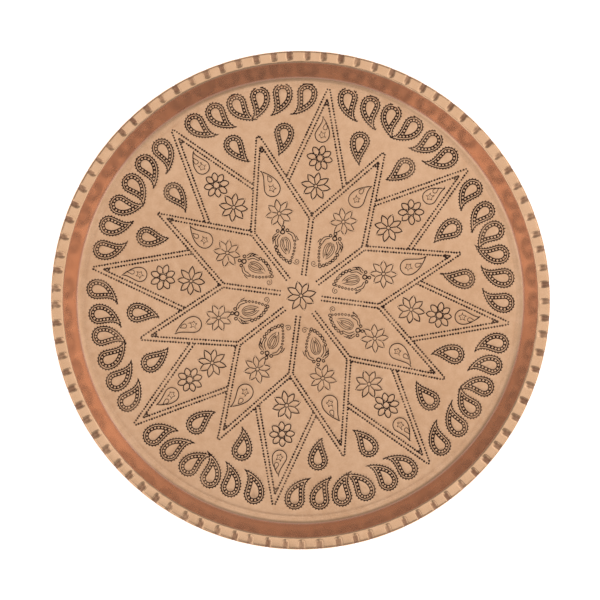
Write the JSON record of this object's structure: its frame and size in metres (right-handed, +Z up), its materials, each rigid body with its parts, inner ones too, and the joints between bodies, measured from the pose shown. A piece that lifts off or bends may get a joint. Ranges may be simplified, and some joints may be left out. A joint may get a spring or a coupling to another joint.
{
  "type": "serving tray",
  "caption": "round copper serving tray with a steep wall, a crimped rim rolled over a steel wire, and a floor chased with an eight-fold star and drop-shaped motifs",
  "frame": {"origin": "on the table, under the middle of the tray's floor", "axes": "+Z up, square to the floor; +X and +Y lie in the floor, with +Y the side away from a person who reads the star with a point just left of the top"},
  "size_m": [0.4499, 0.45, 0.025],
  "materials": {
    "copper": "planished copper, satin, with dark patina left in the chased lines",
    "rim_wire": "drawn iron wire, dull grey"
  },
  "bodies": {
    "root": {"tray_sheet": "copper", "rim_wire": "rim_wire"}
  },
  "joints": []
}
